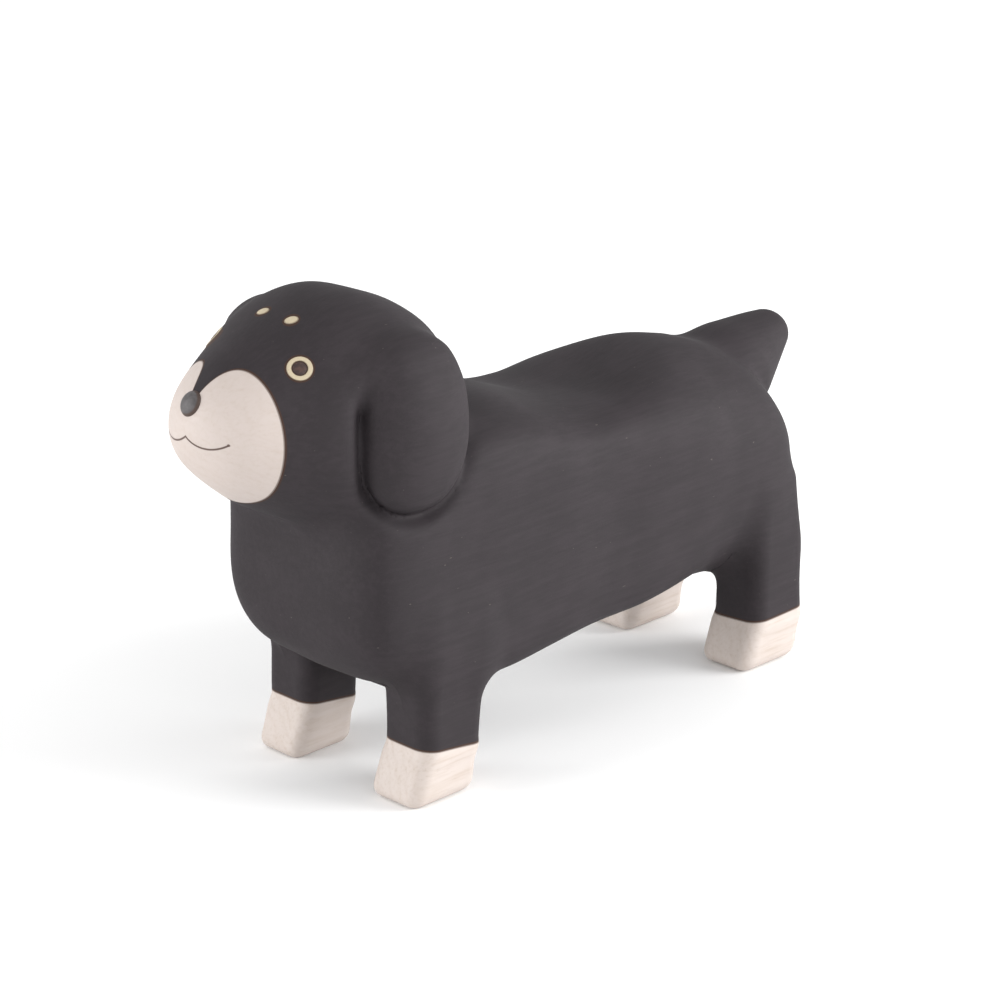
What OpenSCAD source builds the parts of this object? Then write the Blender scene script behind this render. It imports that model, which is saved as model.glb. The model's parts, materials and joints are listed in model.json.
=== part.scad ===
// Small carved wooden dog, standing, in painted and bare wood.
// Frame: the dog looks along -Y, its left side is +X, it stands on z = 0,
// and the origin is under the middle of its overall box.

/* [Body] */
// Width across the flanks
body_w = 31; // [27:0.5:34]
// Length from chest to rump
body_len = 82; // [76:1:90]
// Height of the back above the floor
back_z = 44.8; // [42:0.2:47]
// Height of the belly at its lowest line
belly_z = 12.4; // [11:0.2:14]
// Squareness of the body's section, 2 is an ellipse
body_square = 3.4; // [2.8:0.1:4.5]
// Middle of the body along Y
body_y = 2.8; // [1:0.1:4]

/* [Head] */
// Width of the skull
head_w = 29; // [26:0.5:32]
// Height of the skull
head_h = 29; // [26:0.5:31]
// Depth of the skull from brow to nape
head_depth = 29.6; // [27:0.2:32]
// Backward lean of the skull, degrees
head_lean = 23; // [15:1:30]
// Width of the snout
snout_w = 20.4; // [18:0.2:24]
// Height of the snout
snout_h = 18.6; // [16:0.2:20]
// Length of the bare muzzle cap
muzzle_len = 6.8; // [5:0.1:8]
// Diameter of the nose button
nose_d = 3.2; // [2.4:0.1:4.4]
// Outer diameter of an eye ring
eye_d = 3.4; // [2.8:0.1:4.2]
// Diameter of a pupil
pupil_d = 1.9; // [1.2:0.1:2.4]
// Length of a brow spot
brow_len = 1.7; // [1.2:0.1:2.4]

/* [Ears] */
// Height of an ear
ear_h = 22; // [19:0.5:24]
// Width of an ear from front to back
ear_w = 16.4; // [14:0.2:18]
// Distance of the ear's outermost point from the middle plane
ear_out = 17.4; // [16.5:0.1:18.5]

/* [Legs and paws] */
// Side of a leg, across
leg_w = 8; // [7:0.1:9]
// Side of a leg, along the body
leg_l = 9; // [8:0.1:10]
// Distance between the middles of the left and right legs
track = 22; // [20:0.2:23]
// Distance between the middles of the front and rear legs
wheelbase = 62.2; // [58:0.2:66]
// Height of the leg blocks' top joint
leg_top_z = 17; // [16:0.2:19]
// Height of the painted edge, where leg meets paw
ankle_z = 6.9; // [6:0.1:8]
// How far the toes stand out in front of the leg
toe = 3; // [1.5:0.1:4]

/* [Tail] */
// Thickness of the tail at its root
tail_root_d = 13.2; // [11:0.2:14]
// Thickness of the tail at its tip
tail_tip_d = 7.6; // [6:0.2:9]

/* [Dowels] */
// Diameter of the neck dowel
neck_dowel_d = 6; // [4:0.5:8]
// Diameter of the tail and leg dowels
small_dowel_d = 3; // [2:0.5:4]

/* [Hidden] */

charcoal = "#403c3f";
bare_wood = "#e3d5cb";
nose_grey = "#5a5557";
burnt_brown = "#5c3d2a";
birch = "#d8b98c";

// Driving planes and centres
body_mid_z = (back_z + belly_z) / 2;
chest_y = body_y - body_len / 2;
rump_y = body_y + body_len / 2;
reach = 60;
neck_joint = [0, -10, 46];
neck_joint_lean = 9;
throat_z = 43;
chest_depth = 30;
chest_half_h = 17;
chest_mid_z = 32.6;
rump_depth = 34;
block_trim = 0.1;
skull = [0, -30.75, 50.2];
snout = [0, -43.6, 50.9];
snout_front_y = -53.6;
muzzle_y = snout_front_y + muzzle_len;
front_leg_y = -23.85;
rear_leg_y = front_leg_y + wheelbase;
ear_seat = [10.8, -28.7, 51.4];
ear_lean = 11;
ear_edge = 1.6;
tail_root = [0, 43.2, 38.2];
tail_tip = [0, 49.8, 40.8];
tail_joint_y = 41;
haunch_z = 36;
leg_square = 4.5;
leg_spread = 1.12;
eye = [7.8, -42.1, 59.1];
eye_aim = [0.55, -0.47, 0.69];
brow = [2.6, -38.6, 63.2];
brow_aim = [0.12, -0.42, 0.90];
brow_w = 1.1;
nose_at = [0, -52.2, 55.4];
nose_aim = [0, -0.82, 0.56];
nose_proud = 0.5;
inlay = 1.2;
inlay_proud = 0.3;
bridge_z = 54.6;

// Ends of the dowels' bores
neck_bore = [[0, -24, 30], [0, -25, 54]];
tail_bore = [[0, 30, 33.4], [0, 48, 40.2]];
leg_bore_z = 2.6;
leg_bore_h = 20;

// Signed power, for superellipse outlines
function spow(v, e) = sign(v) * pow(abs(v), e);

// Closed superellipse outline: half sizes a and b, squareness n, count points
function superellipse(a, b, n, count) =
    [for (i = [0 : count - 1]) let (t = 360 * i / count)
        [a * spow(cos(t), 2 / n), b * spow(sin(t), 2 / n)]];

// How far a block with squareness m has closed in at the fraction u of its half length
function closing(u, m) = pow(1 - pow(abs(u), m), 1 / m);

// Closed skin over a stack of rings, each a list of count points in space
module skin(rings, count) {
    last = len(rings) - 1;
    points = [for (ring = rings) each ring];
    sides = [for (r = [0 : last - 1]) for (i = [0 : count - 1])
        let (a = r * count + i, b = r * count + (i + 1) % count)
            each [[a, b, b + count], [a, b + count, a + count]]];
    first_cap = [for (i = [0 : count - 1]) count - 1 - i];
    last_cap = [for (i = [0 : count - 1]) last * count + i];
    polyhedron(points, concat([first_cap], sides, [last_cap]));
}
// A pebble: superellipse sections along Y that close in towards both ends.
// half is [x, y, z], n squares the section, m squares the plan.
module pebble(half, n, m, rings, count) {
    stops = [for (i = [0 : rings - 1]) -cos(180 * (i + 0.35) / (rings - 0.3))];
    section = superellipse(half.x, half.z, n, count);
    skin([for (u = stops) [for (p = section)
        [p.x * closing(u, m), u * half.y, p.y * closing(u, m)]]], count);
}

// Height of the sloping neck joint at the place y along the body
function neck_joint_z(y) = neck_joint.z + (y - neck_joint.y) * tan(neck_joint_lean);

// Prism across the whole dog, from an outline in the YZ plane
module across(outline) {
    rotate([90, 0, 90])
        translate([0, 0, -reach / 2])
            linear_extrude(reach)
                polygon(outline);
}
// Space above the neck joint, and the space under it behind the line of the chest
module above_neck() {
    front = chest_y - reach / 2;
    back = chest_y + reach;
    top = neck_joint.z + reach;
    across([[front, neck_joint_z(front)], [back, neck_joint_z(back)], [back, top], [front, top]]);
}
module below_neck() {
    back = chest_y + reach;
    across([[chest_y, 0], [back, 0], [back, neck_joint_z(back)], [chest_y, neck_joint_z(chest_y)]]);
}

// Straight rounded peg of the given diameter between two points in the YZ plane
module peg(from, to, d) {
    run = to - from;
    translate(from)
        rotate([-atan2(run.y, run.z), 0, 0])
            cylinder(d = d, h = norm(run), $fn = 48);
}

// Turns +Z to the direction aim
module aimed(at, aim) {
    translate(at)
        rotate([0, acos(aim.z / norm(aim)), atan2(aim.y, aim.x)])
            children();
}
module mirrored(side) {
    mirror([side < 0 ? 1 : 0, 0, 0])
        children();
}

// Body block, with the pillar of the chest that the head stands on
module trunk_form() {
    translate([0, body_y, body_mid_z])
        pebble([body_w / 2, body_len / 2, (back_z - belly_z) / 2], body_square, 4.6, 22, 40);
}
module chest_form() {
    half = [body_w / 2 - block_trim, chest_half_h, chest_depth / 2];
    translate([0, chest_y + chest_depth / 2, chest_mid_z])
        rotate([90, 0, 0])
            pebble(half, 3.8, 3.4, 16, 40);
}
module rump_form() {
    half = [body_w / 2 - block_trim, (back_z - belly_z) / 2, rump_depth / 2];
    translate([0, rump_y - rump_depth / 2, body_mid_z])
        rotate([90, 0, 0])
            pebble(half, 4.2, 3, 16, 40);
}
// Swelling of the body above a leg, which carries the leg's outline up into the flank
module haunch() {
    translate([0, 0, leg_top_z])
        linear_extrude(haunch_z - leg_top_z, scale = [0.8, 0.6])
            leg_outline(leg_spread);
}
module neck_peg(d) {
    peg(neck_bore[0], neck_bore[1], d);
}
module tail_peg(d) {
    peg(tail_bore[0], tail_bore[1], d);
}
module leg_peg(side, y, d) {
    translate([side * track / 2, y, leg_bore_z])
        cylinder(d = d, h = leg_bore_h, $fn = 48);
}
module every_leg() {
    for (side = [-1, 1])
        for (y = [front_leg_y, rear_leg_y])
            translate([side * track / 2, y, 0])
                children();
}

module torso() {
    color(charcoal)
        difference() {
            union() {
                trunk_form();
                chest_form();
                rump_form();
                every_leg()
                    haunch();
            }
            above_neck();
            ear_block(1);
            ear_block(-1);
            every_leg()
                leg_post();
            tail_form();
            neck_peg(neck_dowel_d);
            tail_peg(small_dowel_d);
            for (side = [-1, 1])
                for (y = [front_leg_y, rear_leg_y])
                    leg_peg(side, y, small_dowel_d);
        }
}

// Skull and snout as one carved form
module skull_form() {
    translate(skull)
        rotate([-head_lean, 0, 0])
            pebble([head_w / 2, head_depth / 2, head_h / 2], 2.4, 2.4, 16, 32);
}
module head_form() {
    hull() {
        skull_form();
        translate(snout)
            pebble([snout_w / 2, snout.y - snout_front_y, snout_h / 2], 2.3, 2.3, 14, 32);
    }
}
// Nape and throat: the skull runs down to the outline of the neck joint
module nape_form() {
    hull() {
        skull_form();
        translate([0, chest_y + 12.6, throat_z])
            linear_extrude(0.01)
                polygon(superellipse(body_w / 2 - 0.8, 12.2, 3.2, 40));
    }
}

// Everything in front of the muzzle's joint
module muzzle_block() {
    translate([-reach / 2, muzzle_y - reach / 2, body_mid_z])
        cube([reach, reach / 2, reach]);
}
// Tongue of the head that runs between the two halves of the muzzle to the nose
module bridge_prism() {
    translate([0, 0, bridge_z])
        linear_extrude(10)
            polygon([[-4.5, muzzle_y + 0.4], [-2.6, muzzle_y - 1], [-0.9, muzzle_y - 3.2],
                [-0.5, muzzle_y - 5.4], [0.5, muzzle_y - 5.4], [0.9, muzzle_y - 3.2],
                [2.6, muzzle_y - 1], [4.5, muzzle_y + 0.4]]);
}
module head() {
    color(charcoal)
        difference() {
            union() {
                head_form();
                nape_form();
                chest_form();
            }
            difference() {
                muzzle_block();
                bridge_prism();
            }
            below_neck();
            ear_block(1);
            ear_block(-1);
            neck_peg(neck_dowel_d);
            for (side = [-1, 1])
                mirrored(side) {
                    eye_socket();
                    brow_socket();
                }
            nose_socket();
        }
}
module muzzle() {
    color(bare_wood)
        difference() {
            intersection() {
                head_form();
                muzzle_block();
            }
            bridge_prism();
            nose_socket();
        }
}

// Nose: a low domed button, let into the muzzle and the tip of the bridge
module nose_socket() {
    aimed(nose_at, nose_aim)
        translate([0, 0, -inlay])
            cylinder(d = nose_d, h = 3 * inlay, $fn = 48);
}
module nose() {
    color(nose_grey)
        intersection() {
            nose_socket();
            aimed(nose_at, nose_aim)
                translate([0, 0, nose_proud - nose_d])
                    sphere(r = nose_d, $fn = 64);
        }
}

// Outline of an ear, seen square on to its seat, shrunk to the given share
function ear_outline(share) = superellipse(ear_w / 2 * share, ear_h / 2 * share, 2.3, 40);

// Frame of an ear's seat: +Z points outwards, and the top leans in towards the crown
module on_ear_seat(side) {
    mirrored(side)
        translate(ear_seat)
            rotate([0, -ear_lean, 0])
                rotate([90, 0, 90])
                    children();
}
// Space that the ear fills in the side of the head and the chest
module ear_block(side) {
    on_ear_seat(side)
        linear_extrude(12)
            polygon(ear_outline(1));
}
// An ear: a block with upright sides up to its edge, and a dome over it
module ear(side) {
    dome = ear_out - ear_seat.x - ear_edge;
    slices = [[0, 1], for (turn = [0 : 12 : 84]) [ear_edge + dome * sin(turn), cos(turn)]];
    color(charcoal)
        on_ear_seat(side)
            skin([for (slice = slices) [for (p = ear_outline(slice[1])) [p.x, p.y, slice[0]]]], 40);
}
module left_ear() {
    ear(1);
}
module right_ear() {
    ear(-1);
}

module eye_socket() {
    aimed(eye, eye_aim)
        cylinder(d = eye_d, h = 2 * inlay, center = true, $fn = 48);
}
module eye_ring(side) {
    color(bare_wood)
        mirrored(side)
            aimed(eye, eye_aim)
                difference() {
                    translate([0, 0, -inlay])
                        cylinder(d = eye_d, h = inlay + inlay_proud, $fn = 48);
                    translate([0, 0, -2 * inlay])
                        cylinder(d = pupil_d, h = 4 * inlay, $fn = 48);
                }
}
module pupil(side) {
    color(burnt_brown)
        mirrored(side)
            aimed(eye, eye_aim)
                translate([0, 0, -inlay])
                    cylinder(d = pupil_d, h = inlay + inlay_proud, $fn = 48);
}
module left_eye_ring() {
    eye_ring(1);
}
module right_eye_ring() {
    eye_ring(-1);
}
module left_pupil() {
    pupil(1);
}
module right_pupil() {
    pupil(-1);
}

module brow_stud(h) {
    aimed(brow, brow_aim)
        translate([0, 0, -inlay])
            linear_extrude(h)
                hull()
                    for (end = [-1, 1])
                        translate([end * (brow_len - brow_w) / 2, 0])
                            circle(d = brow_w, $fn = 32);
}
module brow_socket() {
    brow_stud(3 * inlay);
}
module brow_spot(side) {
    color(bare_wood)
        mirrored(side)
            brow_stud(inlay + inlay_proud);
}
module left_brow_spot() {
    brow_spot(1);
}
module right_brow_spot() {
    brow_spot(-1);
}

// Tail block: a blunt cone let into the rump behind a flat joint
module tail_form() {
    intersection() {
        hull() {
            translate(tail_root)
                sphere(d = tail_root_d, $fn = 32);
            translate(tail_tip)
                sphere(d = tail_tip_d, $fn = 32);
        }
        translate([-reach / 2, tail_joint_y, 0])
            cube([reach, reach, reach]);
    }
}
module tail() {
    color(charcoal)
        difference() {
            tail_form();
            tail_peg(small_dowel_d);
        }
}

// One leg block: a rounded square post that widens into the body
module leg_post() {
    translate([0, 0, ankle_z])
        linear_extrude(leg_top_z - ankle_z, scale = leg_spread)
            leg_outline(1);
}
// Rounded square outline of a leg, enlarged by the factor grow
module leg_outline(grow) {
    polygon(superellipse(leg_w / 2 * grow, leg_l / 2 * grow, leg_square, 40));
}
module leg(side, y) {
    color(charcoal)
        difference() {
            translate([side * track / 2, y, 0])
                leg_post();
            leg_peg(side, y, small_dowel_d);
        }
}
module front_left_leg() {
    leg(1, front_leg_y);
}
module front_right_leg() {
    leg(-1, front_leg_y);
}
module rear_left_leg() {
    leg(1, rear_leg_y);
}
module rear_right_leg() {
    leg(-1, rear_leg_y);
}

// Slice of a paw: the leg's outline made wider by grow, with toes standing out in front
module paw_slice(z, grow, toes) {
    translate([0, -toes / 2, z])
        linear_extrude(0.01)
            polygon(superellipse(leg_w / 2 + grow, (leg_l + toes) / 2 + grow, leg_square, 40));
}
module paw(side, y) {
    color(bare_wood)
        difference() {
            translate([side * track / 2, y, 0])
                hull() {
                    paw_slice(0, -0.7, toe - 1.2);
                    paw_slice(0.4, -0.2, toe - 0.4);
                    paw_slice(1.5, 0.15, toe);
                    paw_slice(3, 0.15, toe - 0.3);
                    paw_slice(5, 0.05, toe - 1.6);
                    paw_slice(ankle_z - 0.01, 0, 0);
                }
            leg_peg(side, y, small_dowel_d);
        }
}
module front_left_paw() {
    paw(1, front_leg_y);
}
module front_right_paw() {
    paw(-1, front_leg_y);
}
module rear_left_paw() {
    paw(1, rear_leg_y);
}
module rear_right_paw() {
    paw(-1, rear_leg_y);
}

module neck_dowel() {
    color(birch)
        neck_peg(neck_dowel_d);
}
module tail_dowel() {
    color(birch)
        tail_peg(small_dowel_d);
}
module leg_dowel(side, y) {
    color(birch)
        leg_peg(side, y, small_dowel_d);
}
module front_left_dowel() {
    leg_dowel(1, front_leg_y);
}
module front_right_dowel() {
    leg_dowel(-1, front_leg_y);
}
module rear_left_dowel() {
    leg_dowel(1, rear_leg_y);
}
module rear_right_dowel() {
    leg_dowel(-1, rear_leg_y);
}

torso();
head();
muzzle();
nose();
left_ear();
right_ear();
left_eye_ring();
right_eye_ring();
left_pupil();
right_pupil();
left_brow_spot();
right_brow_spot();
tail();
front_left_leg();
front_right_leg();
rear_left_leg();
rear_right_leg();
front_left_paw();
front_right_paw();
rear_left_paw();
rear_right_paw();
neck_dowel();
tail_dowel();
front_left_dowel();
front_right_dowel();
rear_left_dowel();
rear_right_dowel();
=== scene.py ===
# %% [markdown]
# # A small carved dog in painted and bare wood
# The real object is a palm-sized figurine: blocks of pale wood are glued up with dowels, the whole dog is
# carved and sanded through the joints, and then the coat is painted a matte charcoal, which leaves the muzzle
# and the paws bare. This lesson works the same way. One formula describes the carved skin of the whole dog,
# each piece is the part of that skin that lies inside its own block, and the finishes come last.

# %% The frame
import json

import bmesh
import bpy
import numpy as np
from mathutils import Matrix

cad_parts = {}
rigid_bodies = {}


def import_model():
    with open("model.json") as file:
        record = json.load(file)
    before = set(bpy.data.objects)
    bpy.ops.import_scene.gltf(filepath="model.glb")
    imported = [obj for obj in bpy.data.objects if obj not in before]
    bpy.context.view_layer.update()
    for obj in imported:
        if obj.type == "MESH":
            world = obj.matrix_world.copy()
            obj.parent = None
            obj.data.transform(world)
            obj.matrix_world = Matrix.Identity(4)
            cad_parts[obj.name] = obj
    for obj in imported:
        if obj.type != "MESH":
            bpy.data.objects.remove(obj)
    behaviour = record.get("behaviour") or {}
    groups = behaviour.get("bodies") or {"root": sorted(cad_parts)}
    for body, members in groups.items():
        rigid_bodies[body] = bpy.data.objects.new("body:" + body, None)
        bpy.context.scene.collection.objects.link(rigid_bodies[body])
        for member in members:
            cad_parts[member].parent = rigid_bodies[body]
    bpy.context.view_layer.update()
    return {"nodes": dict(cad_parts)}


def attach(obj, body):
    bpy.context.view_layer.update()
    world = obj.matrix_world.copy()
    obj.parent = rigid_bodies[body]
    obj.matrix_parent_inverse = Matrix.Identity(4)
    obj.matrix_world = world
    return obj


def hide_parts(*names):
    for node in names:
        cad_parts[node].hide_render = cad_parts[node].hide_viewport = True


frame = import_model()
MM = 0.001

# %% [markdown]
# ## Camera
# The dog is seen from its front left, a little from above, with a long lens, so that its body looks almost
# parallel. The camera looks along one direction, set by an azimuth and an elevation. It is moved sideways
# and down rather than turned, until the dog stands at its place in the frame.

# %% Camera
AZIMUTH, ELEVATION = np.radians(44.8), np.radians(20.1)
DISTANCE = 480 * MM
SENSOR = 36.0
FOCAL = 3.6  # the lens length in sensor widths
SEEN_POINT = np.array([0.0, 4.75, 0.0]) * MM
SEEN_AT = np.array([0.0297, -0.2003])  # where that point appears, in widths of the frame from its middle


def direction(azimuth, elevation):
    """Unit vector (sin a cos e, -cos a cos e, sin e): where a thing stands as seen from the dog."""
    a, e = azimuth, elevation
    return np.array([np.sin(a) * np.cos(e), -np.cos(a) * np.cos(e), np.sin(e)])


back = direction(AZIMUTH, ELEVATION)
right = np.array([np.cos(AZIMUTH), np.sin(AZIMUTH), 0.0])
up = np.cross(back, right)
eye_point = SEEN_POINT + back * DISTANCE - (right * SEEN_AT[0] + up * SEEN_AT[1]) * DISTANCE / FOCAL
camera_data = bpy.data.cameras.new("camera")
camera_data.sensor_width = SENSOR
camera_data.lens = SENSOR * FOCAL
camera_data.clip_start = 0.01
camera = bpy.data.objects.new("camera", camera_data)
camera.location = eye_point
camera.rotation_euler = (np.pi / 2 - ELEVATION, 0.0, AZIMUTH)
bpy.context.scene.collection.objects.link(camera)
bpy.context.scene.camera = camera
print("camera at", np.round(eye_point, 3), "lens", round(camera_data.lens, 1), "mm")

# %% [markdown]
# ## Floor and light
# A pale floor that runs far back, a white surround, and three low soft boxes. Of the two strong ones, one
# stands behind the dog on its left and one in front of it on its right, so that the flank and the face are
# lit from two sides and the corner of the chest between them stays darker. The weak one fills the left flank.

# %% Soft boxes
BOX_SIDE, BOX_DISTANCE = 0.5, 0.8
MIDDLE = np.array([0.0, 0.0, 0.03])


def soft_box(name, azimuth, elevation, power):
    """A square area light that faces the dog's middle, turned as the camera is: by 90 degrees less its
    elevation about X, and then by its azimuth about Z."""
    azimuth, elevation = np.radians(azimuth), np.radians(elevation)
    data = bpy.data.lights.new(name, "AREA")
    data.size = BOX_SIDE
    data.energy = power
    lamp = bpy.data.objects.new(name, data)
    lamp.location = direction(azimuth, elevation) * BOX_DISTANCE + MIDDLE
    lamp.rotation_euler = (np.pi / 2 - elevation, 0.0, azimuth)
    bpy.context.scene.collection.objects.link(lamp)
    return lamp


boxes = [soft_box("box_behind_right", 131, 18, 7.7), soft_box("box_right", 88, 8, 1.5),
         soft_box("box_left", -27, 9, 5.8)]
print("soft boxes in watts:", {box.name: round(box.data.energy, 1) for box in boxes})

# %% Surround and floor
world = bpy.data.worlds.new("surround")
world.use_nodes = True
background = world.node_tree.nodes["Background"]
background.inputs["Color"].default_value = (1.0, 1.0, 1.0, 1.0)
background.inputs["Strength"].default_value = 0.9
bpy.context.scene.world = world
bpy.context.scene.view_settings.view_transform = "Standard"

FLOOR_HALF = 3.0
corners = [(x * FLOOR_HALF, y * FLOOR_HALF, 0) for x, y in ((-1, -1), (1, -1), (1, 1), (-1, 1))]
floor_mesh = bpy.data.meshes.new("floor")
floor_mesh.from_pydata(corners, [], [(0, 1, 2, 3)])
floor = bpy.data.objects.new("floor", floor_mesh)
bpy.context.scene.collection.objects.link(floor)
floor_paper = bpy.data.materials.new("floor_paper")
floor_paper.use_nodes = True
floor_shader = floor_paper.node_tree.nodes["Principled BSDF"]
floor_shader.inputs["Base Color"].default_value = (0.95, 0.95, 0.95, 1.0)
floor_shader.inputs["Roughness"].default_value = 0.9
floor_mesh.materials.append(floor_paper)
print("floor:", round(2 * FLOOR_HALF), "m square")

# %% [markdown]
# ## The carved skin as one formula
# A carver thinks in masses: a long box with soft edges for the body, a fuller one for the chest and the rump,
# a leaning egg for the skull, a ball for the snout, posts for the legs. Each mass here is a function that is
# negative inside, zero on its skin and positive outside. Joining two masses with a smooth minimum rounds the
# valley between them, as a gouge and sandpaper do. The dog is left-right even, so X enters by its size only,
# apart from two things that hand work leaves: no two legs are cut alike, and the whole skin is a little wavy.

# %% Blend, soft block and lean
def blend(a, b, round_by):
    """Smooth minimum: the smaller of a and b, lowered where they are closer than round_by, h (1-h) round_by
    with h = clip(1/2 + (b-a) / 2 round_by, 0, 1)."""
    h = np.clip(0.5 + 0.5 * (b - a) / round_by, 0.0, 1.0)
    return b + (a - b) * h - round_by * h * (1.0 - h)


def soft_block(p, centre, half, section, length, axis=1):
    """Superellipsoid: with q = |p - centre| / half and g = ((q1^s + q2^s)^(l/s) + q_axis^l)^(1/l), where s is
    the section's squareness and l the squareness along axis, the value is |p - centre| (1 - 1/g)."""
    away = p - np.array(centre)
    q = np.abs(away) / np.array(half) + 1e-6
    first, second = [i for i in range(3) if i != axis]
    g = ((q[:, first] ** section + q[:, second] ** section) ** (length / section)
         + q[:, axis] ** length) ** (1.0 / length)
    return np.sqrt((away ** 2).sum(1)) * (1.0 - 1.0 / np.maximum(g, 1e-3))


def lean_x(p, centre, degrees):
    """Points turned about the X axis through centre, so that a mass can lean back or forth."""
    a = np.radians(degrees)
    q = p - np.array(centre)
    y = q[:, 1] * np.cos(a) + q[:, 2] * np.sin(a)
    z = -q[:, 1] * np.sin(a) + q[:, 2] * np.cos(a)
    return np.stack([q[:, 0], y, z], 1) + np.array(centre)


print("two faces 1 mm away, blended over 4 mm:", blend(np.ones(1), np.ones(1), 4.0))

# %% Post and cone
def post(p, centre, half, rounding):
    """Box of half sizes half whose edges are rounded: the distance to the smaller box, less the rounding."""
    q = np.abs(p - np.array(centre)) - np.array(half) + rounding
    return np.sqrt((np.maximum(q, 0) ** 2).sum(1)) + np.minimum(q.max(1), 0) - rounding


def cone(p, start, end, start_r, end_r):
    """Cone that touches a ball at each end. With l along and r away from the axis, h the length,
    b = (start_r - end_r) / h and a = sqrt(1 - b^2), the side is r a + l b - start_r, and the balls take over
    where a l - b r leaves the range from 0 to a h."""
    start, end = np.array(start), np.array(end)
    h = np.linalg.norm(end - start)
    along = (p - start) @ (end - start) / h
    away = np.sqrt(np.maximum(((p - start) ** 2).sum(1) - along ** 2, 0))
    b = (start_r - end_r) / h
    a = np.sqrt(1 - b * b)
    k = a * along - b * away
    side = np.where(k > a * h, np.hypot(away, along - h) - end_r, away * a + along * b - start_r)
    return np.where(k < 0, np.hypot(away, along) - start_r, side)


below_ball = np.array([[0.0, 0.0, -6.0]])
print("1 mm below a cone that starts in a 5 mm ball:", cone(below_ball, (0, 0, 0), (0, 0, 9), 5.0, 3.0))

# %% [markdown]
# ## The dog's masses
# Every place is in millimetres, with the dog's nose towards -Y, its left side at +X and its soles at Z 0. The
# trunk comes first, as it would from the saw, and then what grows out of it: head, ears, legs and tail.

# %% Trunk, head and ears
FLANK_X = 15.6
EAR_AT = np.array([13.1, -28.65, 49.7])


def trunk(p):
    """Long body, fuller rump and chest, and a plane that flattens the flanks. The chest is square in
    front, and drawn out and round behind, so that it runs out in the back without a ridge."""
    rump_at, chest_at = (0, 26.45, 29.1), (0, -21.7, 31.65)
    round_rump, round_chest, round_flank = 4.8, 12.3, 2.0
    square_front, round_back, draw = 5.0, 2.5, 0.853
    long_body = soft_block(p, (0, 1.15, 28.4), (15.5, 28.6, 14.9), 4.5, 3.95)
    rump = soft_block(lean_x(p, rump_at, -13.2), rump_at, (15.5, 18.3, 16.7), 3.9, 2.05, axis=2)
    behind = p[:, 1] > chest_at[1]
    drawn_out = p.copy()
    drawn_out[:, 1] = np.where(behind, chest_at[1] + (p[:, 1] - chest_at[1]) * draw, p[:, 1])
    section = np.where(behind, round_back, square_front)
    chest = soft_block(drawn_out, chest_at, (15.4, 15.45, 15.9), section, 3.6, axis=2)
    whole = blend(blend(long_body, rump, round_rump), chest, round_chest)
    return -blend(-whole, FLANK_X - p[:, 0], round_flank)


def skull_and_snout(p):
    """Leaning skull and round snout in one smooth brow line."""
    skull_at = (0, -30.7, 50.0)
    skull = soft_block(lean_x(p, skull_at, -24.1), skull_at, (14.95, 14.1, 14.65), 2.32, 2.32)
    snout = soft_block(p, (0, -43.4, 51.25), (8.8, 10.05, 8.3), 2.0, 2.0)
    return blend(skull, snout, 8.3)


def hanging_ear(p):
    """Flat drop on the side of the head."""
    return soft_block(p, EAR_AT, (4.8, 8.0, 10.6), 2.3, 2.0, axis=0)


def gouge_round_ear(p, ear):
    """Depth of the groove along the ear's edge, depth exp(-(ear / width)^2). It runs out above the ear, and
    is shallow behind it."""
    depth, width = 1.9, 1.6
    below = np.clip((61.0 - p[:, 2]) / 8.0, 0, 1)
    before = np.clip((-21.0 - p[:, 1]) / 7.0, 0.3, 1)
    return depth * np.exp(-(ear / width) ** 2) * below * before


above_back = np.array([[0, 5, 50.0], [0, -30, 70.0]])
print("from two points above it, the trunk in mm:", np.round(trunk(above_back), 1),
      "and the head:", np.round(skull_and_snout(above_back), 1))

# %% Legs and tail
LEG_X = 10.8
FRONT_LEG_Y = -23.75
REAR_LEG_Y = 38.35
LEG_HALF = (4.4, 5.2)
ANKLE_Z = 6.9
TAIL_ROOT = np.array([0, 42.55, 37.7])
TAIL_TIP = np.array([0, 50.8, 40.95])
TAIL_R = (6.7, 3.35)


def limb(p, leg_y, flare):
    """Square post that spreads backwards by flare for each millimetre upwards and is drawn in at its top, and
    a paw whose front lies toes t ahead of the leg's, with t running from 0 at the ankle to 1 near the floor.
    A slanting plane takes off the lower edge of the heel."""
    toes, slope_to, paw_h = 2.6, 0.2, 7.2
    heel_y, heel_slope = 3.1, 0.18
    spread = flare * np.clip(p[:, 2] - ANKLE_Z, 0, 12)
    leg_part = p.copy()
    leg_part[:, 1] = leg_y + (p[:, 1] - leg_y - spread / 2) / (1 + spread / 2 / LEG_HALF[1])
    drawn_in = 2.2 * np.clip((p[:, 2] - 15) / 12, 0, 1) ** 2
    leg = post(leg_part, (LEG_X, leg_y, 16.0), (*LEG_HALF, 12.0), 2.4) + drawn_in
    t = np.clip((ANKLE_Z - p[:, 2]) / (ANKLE_Z - slope_to), 0, 1)
    bent = p.copy()
    bent[:, 1] = leg_y + (p[:, 1] - leg_y + toes / 2 * t) / (1 + toes / 2 * t / LEG_HALF[1])
    paw = post(bent, (LEG_X, leg_y, paw_h / 2), (*LEG_HALF, paw_h / 2), 1.9)
    heel = (p[:, 1] - leg_y - heel_y - heel_slope * p[:, 2]) * 0.93
    paw = -blend(-paw, -heel, 1.5)
    return blend(leg, paw, 0.8)


def by_hand(p, q, leg_y, size, shift):
    """No two legs are cut alike: points by a right leg, scaled about it by size and moved back by shift."""
    size = np.where(p[:, 0] < 0, size, 1.0)
    shift = np.where(p[:, 0] < 0, shift, 0.0)
    return np.stack([LEG_X + (q[:, 0] - LEG_X) / size, leg_y + (q[:, 1] - leg_y - shift) / size, q[:, 2]], 1)


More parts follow.
